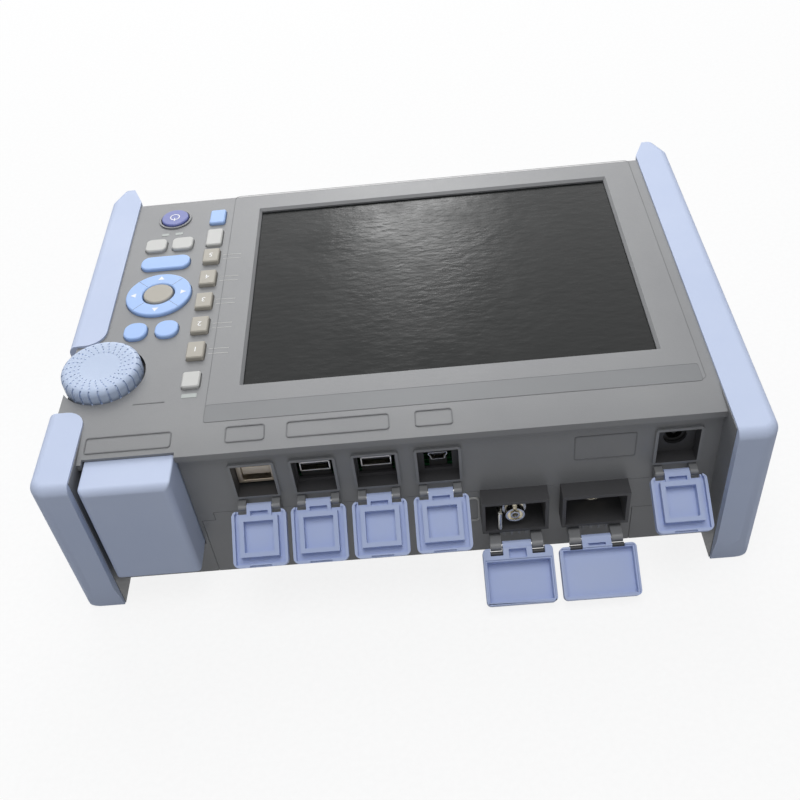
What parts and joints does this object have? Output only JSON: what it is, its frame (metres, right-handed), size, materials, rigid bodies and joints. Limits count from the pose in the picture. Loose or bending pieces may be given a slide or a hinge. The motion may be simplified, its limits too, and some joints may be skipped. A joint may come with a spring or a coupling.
{
  "type": "optical time domain reflectometer",
  "caption": "Hand-held fibre tester: display, keypad with direction ring, rotary knob, covered ports and a slide-in optical unit with shrouded adapters.",
  "frame": {"origin": "middle of the flat rear face, which rests on the table", "axes": "+X to the right of the display, +Y away from the connector panel, +Z out of the display"},
  "size_m": [0.287, 0.2273, 0.0845],
  "materials": {
    "grey_shell": "fine textured ABS",
    "dark_shell": "fine textured ABS",
    "soft_bumper": "matte elastomer",
    "screen_window": "anti-glare acrylic",
    "display_module": "black liquid crystal panel",
    "steel_sheet": "plain sheet",
    "circuit_board": "green solder resist",
    "silicone_mat": "matte silicone",
    "zinc_body": "die-cast zinc",
    "jack_shell": "tin-plated sheet",
    "jack_black": "moulded nylon",
    "nickel_metal": "nickel-plated",
    "module_can": "bead-blasted",
    "battery_wrap": "shrink wrap",
    "screw_steel": "zinc-plated",
    "pin_steel": "ground",
    "lens_clear": "clear light pipe",
    "cover_rubber": "matte elastomer",
    "cap_plastic": "satin moulding",
    "knob_plastic": "satin moulding",
    "key_blue": "matte silicone",
    "key_white": "matte silicone",
    "key_grey": "matte silicone",
    "key_taupe": "matte silicone"
  },
  "bodies": {
    "case": {"front_case": "grey_shell", "rear_case": "grey_shell", "optical_unit_case": "grey_shell", "optical_unit_cover": "dark_shell", "battery_cover": "dark_shell", "side_protector_left": "soft_bumper", "side_protector_right": "soft_bumper", "option_module": "soft_bumper", "display_window": "screen_window", "lcd_panel": "display_module", "lcd_frame": "steel_sheet", "keypad_board": "circuit_board", "keypad_mat": "silicone_mat", "main_board": "circuit_board", "encoder_body": "zinc_body", "lan_jack": "jack_shell", "usb_a_jack_1": "jack_shell", "usb_a_jack_2": "jack_shell", "usb_mini_jack": "jack_shell", "dc_jack": "jack_black", "optical_adapter_1": "nickel_metal", "optical_adapter_2": "nickel_metal", "optical_board": "circuit_board", "laser_module": "module_can", "battery_pack": "battery_wrap", "case_screws": "screw_steel", "cover_screws": "screw_steel", "small_hinge_pins": "pin_steel", "large_hinge_pins": "pin_steel", "lamp_lenses": "lens_clear"},
    "cover_lan": {"cover_lan": "cover_rubber"},
    "cover_usb_1": {"cover_usb_1": "cover_rubber"},
    "cover_usb_2": {"cover_usb_2": "cover_rubber"},
    "cover_usb_mini": {"cover_usb_mini": "cover_rubber"},
    "cover_dc": {"cover_dc": "cover_rubber"},
    "cover_optical_1": {"cover_optical_1": "cap_plastic"},
    "cover_optical_2": {"cover_optical_2": "cap_plastic"},
    "power_button": {"power_button": "key_blue"},
    "key_help": {"key_help": "key_blue"},
    "key_escape": {"key_escape": "key_white"},
    "key_f1": {"key_f1": "key_grey"},
    "key_f2": {"key_f2": "key_grey"},
    "key_f3": {"key_f3": "key_grey"},
    "key_f4": {"key_f4": "key_grey"},
    "key_f5": {"key_f5": "key_grey"},
    "key_menu": {"key_menu": "key_white"},
    "key_average": {"key_average": "key_grey"},
    "key_realtime": {"key_realtime": "key_grey"},
    "key_setup": {"key_setup": "key_blue"},
    "key_scale": {"key_scale": "key_blue"},
    "key_file": {"key_file": "key_blue"},
    "key_enter": {"key_enter": "key_taupe"},
    "encoder_plunger": {"encoder_plunger": "jack_black"},
    "knob": {"jog_knob": "knob_plastic", "encoder_shaft": "pin_steel"},
    "direction_gimbal": {"direction_gimbal": "jack_black"},
    "direction_ring": {"direction_ring": "key_blue"},
    "tilt_stand": {"tilt_stand": "dark_shell"}
  },
  "joints": [
    {"name": "cover_lan_hinge", "type": "hinge", "parent": "case", "child": "cover_lan", "pos_m": [-0.06, -0.09106, 0.0454], "axis": [-1, 0, 0], "range_deg": [0, 124.6]},
    {"name": "cover_usb_1_hinge", "type": "hinge", "parent": "case", "child": "cover_usb_1", "pos_m": [-0.0355, -0.09106, 0.0454], "axis": [-1, 0, 0], "range_deg": [0, 125.7]},
    {"name": "cover_usb_2_hinge", "type": "hinge", "parent": "case", "child": "cover_usb_2", "pos_m": [-0.0104, -0.09106, 0.0454], "axis": [-1, 0, 0], "range_deg": [0, 123]},
    {"name": "cover_usb_mini_hinge", "type": "hinge", "parent": "case", "child": "cover_usb_mini", "pos_m": [0.0148, -0.09106, 0.0454], "axis": [-1, 0, 0], "range_deg": [0, 122.4]},
    {"name": "cover_dc_hinge", "type": "hinge", "parent": "case", "child": "cover_dc", "pos_m": [0.1104, -0.09106, 0.0454], "axis": [-1, 0, 0], "range_deg": [0, 120]},
    {"name": "cover_optical_1_hinge", "type": "hinge", "parent": "case", "child": "cover_optical_1", "pos_m": [0.0448, -0.099, 0.0167], "axis": [-1, 0, 0], "range_deg": [0, 120.5]},
    {"name": "cover_optical_2_hinge", "type": "hinge", "parent": "case", "child": "cover_optical_2", "pos_m": [0.0781, -0.099, 0.0167], "axis": [-1, 0, 0], "range_deg": [0, 120.5]},
    {"name": "power_button_press", "type": "slide", "parent": "case", "child": "power_button", "axis": [0, 0, -1], "range_m": [0, 0.0008], "stiffness_N_per_m": 900, "springref_m": -0.0004},
    {"name": "key_help_press", "type": "slide", "parent": "case", "child": "key_help", "axis": [0, 0, -1], "range_m": [0, 0.0008], "stiffness_N_per_m": 900, "springref_m": -0.0004},
    {"name": "key_escape_press", "type": "slide", "parent": "case", "child": "key_escape", "axis": [0, 0, -1], "range_m": [0, 0.0008], "stiffness_N_per_m": 900, "springref_m": -0.0004},
    {"name": "key_f1_press", "type": "slide", "parent": "case", "child": "key_f1", "axis": [0, 0, -1], "range_m": [0, 0.0008], "stiffness_N_per_m": 900, "springref_m": -0.0004},
    {"name": "key_f2_press", "type": "slide", "parent": "case", "child": "key_f2", "axis": [0, 0, -1], "range_m": [0, 0.0008], "stiffness_N_per_m": 900, "springref_m": -0.0004},
    {"name": "key_f3_press", "type": "slide", "parent": "case", "child": "key_f3", "axis": [0, 0, -1], "range_m": [0, 0.0008], "stiffness_N_per_m": 900, "springref_m": -0.0004},
    {"name": "key_f4_press", "type": "slide", "parent": "case", "child": "key_f4", "axis": [0, 0, -1], "range_m": [0, 0.0008], "stiffness_N_per_m": 900, "springref_m": -0.0004},
    {"name": "key_f5_press", "type": "slide", "parent": "case", "child": "key_f5", "axis": [0, 0, -1], "range_m": [0, 0.0008], "stiffness_N_per_m": 900, "springref_m": -0.0004},
    {"name": "key_menu_press", "type": "slide", "parent": "case", "child": "key_menu", "axis": [0, 0, -1], "range_m": [0, 0.0008], "stiffness_N_per_m": 900, "springref_m": -0.0004},
    {"name": "key_average_press", "type": "slide", "parent": "case", "child": "key_average", "axis": [0, 0, -1], "range_m": [0, 0.0008], "stiffness_N_per_m": 900, "springref_m": -0.0004},
    {"name": "key_realtime_press", "type": "slide", "parent": "case", "child": "key_realtime", "axis": [0, 0, -1], "range_m": [0, 0.0008], "stiffness_N_per_m": 900, "springref_m": -0.0004},
    {"name": "key_setup_press", "type": "slide", "parent": "case", "child": "key_setup", "axis": [0, 0, -1], "range_m": [0, 0.0008], "stiffness_N_per_m": 900, "springref_m": -0.0004},
    {"name": "key_scale_press", "type": "slide", "parent": "case", "child": "key_scale", "axis": [0, 0, -1], "range_m": [0, 0.0008], "stiffness_N_per_m": 900, "springref_m": -0.0004},
    {"name": "key_file_press", "type": "slide", "parent": "case", "child": "key_file", "axis": [0, 0, -1], "range_m": [0, 0.0008], "stiffness_N_per_m": 900, "springref_m": -0.0004},
    {"name": "key_enter_press", "type": "slide", "parent": "case", "child": "key_enter", "axis": [0, 0, -1], "range_m": [0, 0.0008], "stiffness_N_per_m": 900, "springref_m": -0.0004},
    {"name": "knob_press", "type": "slide", "parent": "case", "child": "encoder_plunger", "axis": [0, 0, -1], "range_m": [0, 0.0008], "stiffness_N_per_m": 1500, "springref_m": -0.0006},
    {"name": "knob_turn", "type": "hinge", "parent": "encoder_plunger", "child": "knob", "pos_m": [-0.1243, -0.0397, 0.08], "axis": [0, 0, -1], "continuous": true},
    {"name": "ring_tilt_x", "type": "hinge", "parent": "case", "child": "direction_gimbal", "pos_m": [-0.1073, 0.0124, 0.076], "axis": [1, 0, 0], "range_deg": [-2, 2], "stiffness_Nm_per_rad": 0.4},
    {"name": "ring_tilt_y", "type": "hinge", "parent": "direction_gimbal", "child": "direction_ring", "pos_m": [-0.1073, 0.0124, 0.076], "axis": [0, 1, 0], "range_deg": [-2, 2], "stiffness_Nm_per_rad": 0.4},
    {"name": "stand_swing", "type": "hinge", "parent": "case", "child": "tilt_stand", "pos_m": [0, 0.08, 0.0036], "axis": [1, 0, 0], "range_deg": [0, 65]}
  ]
}
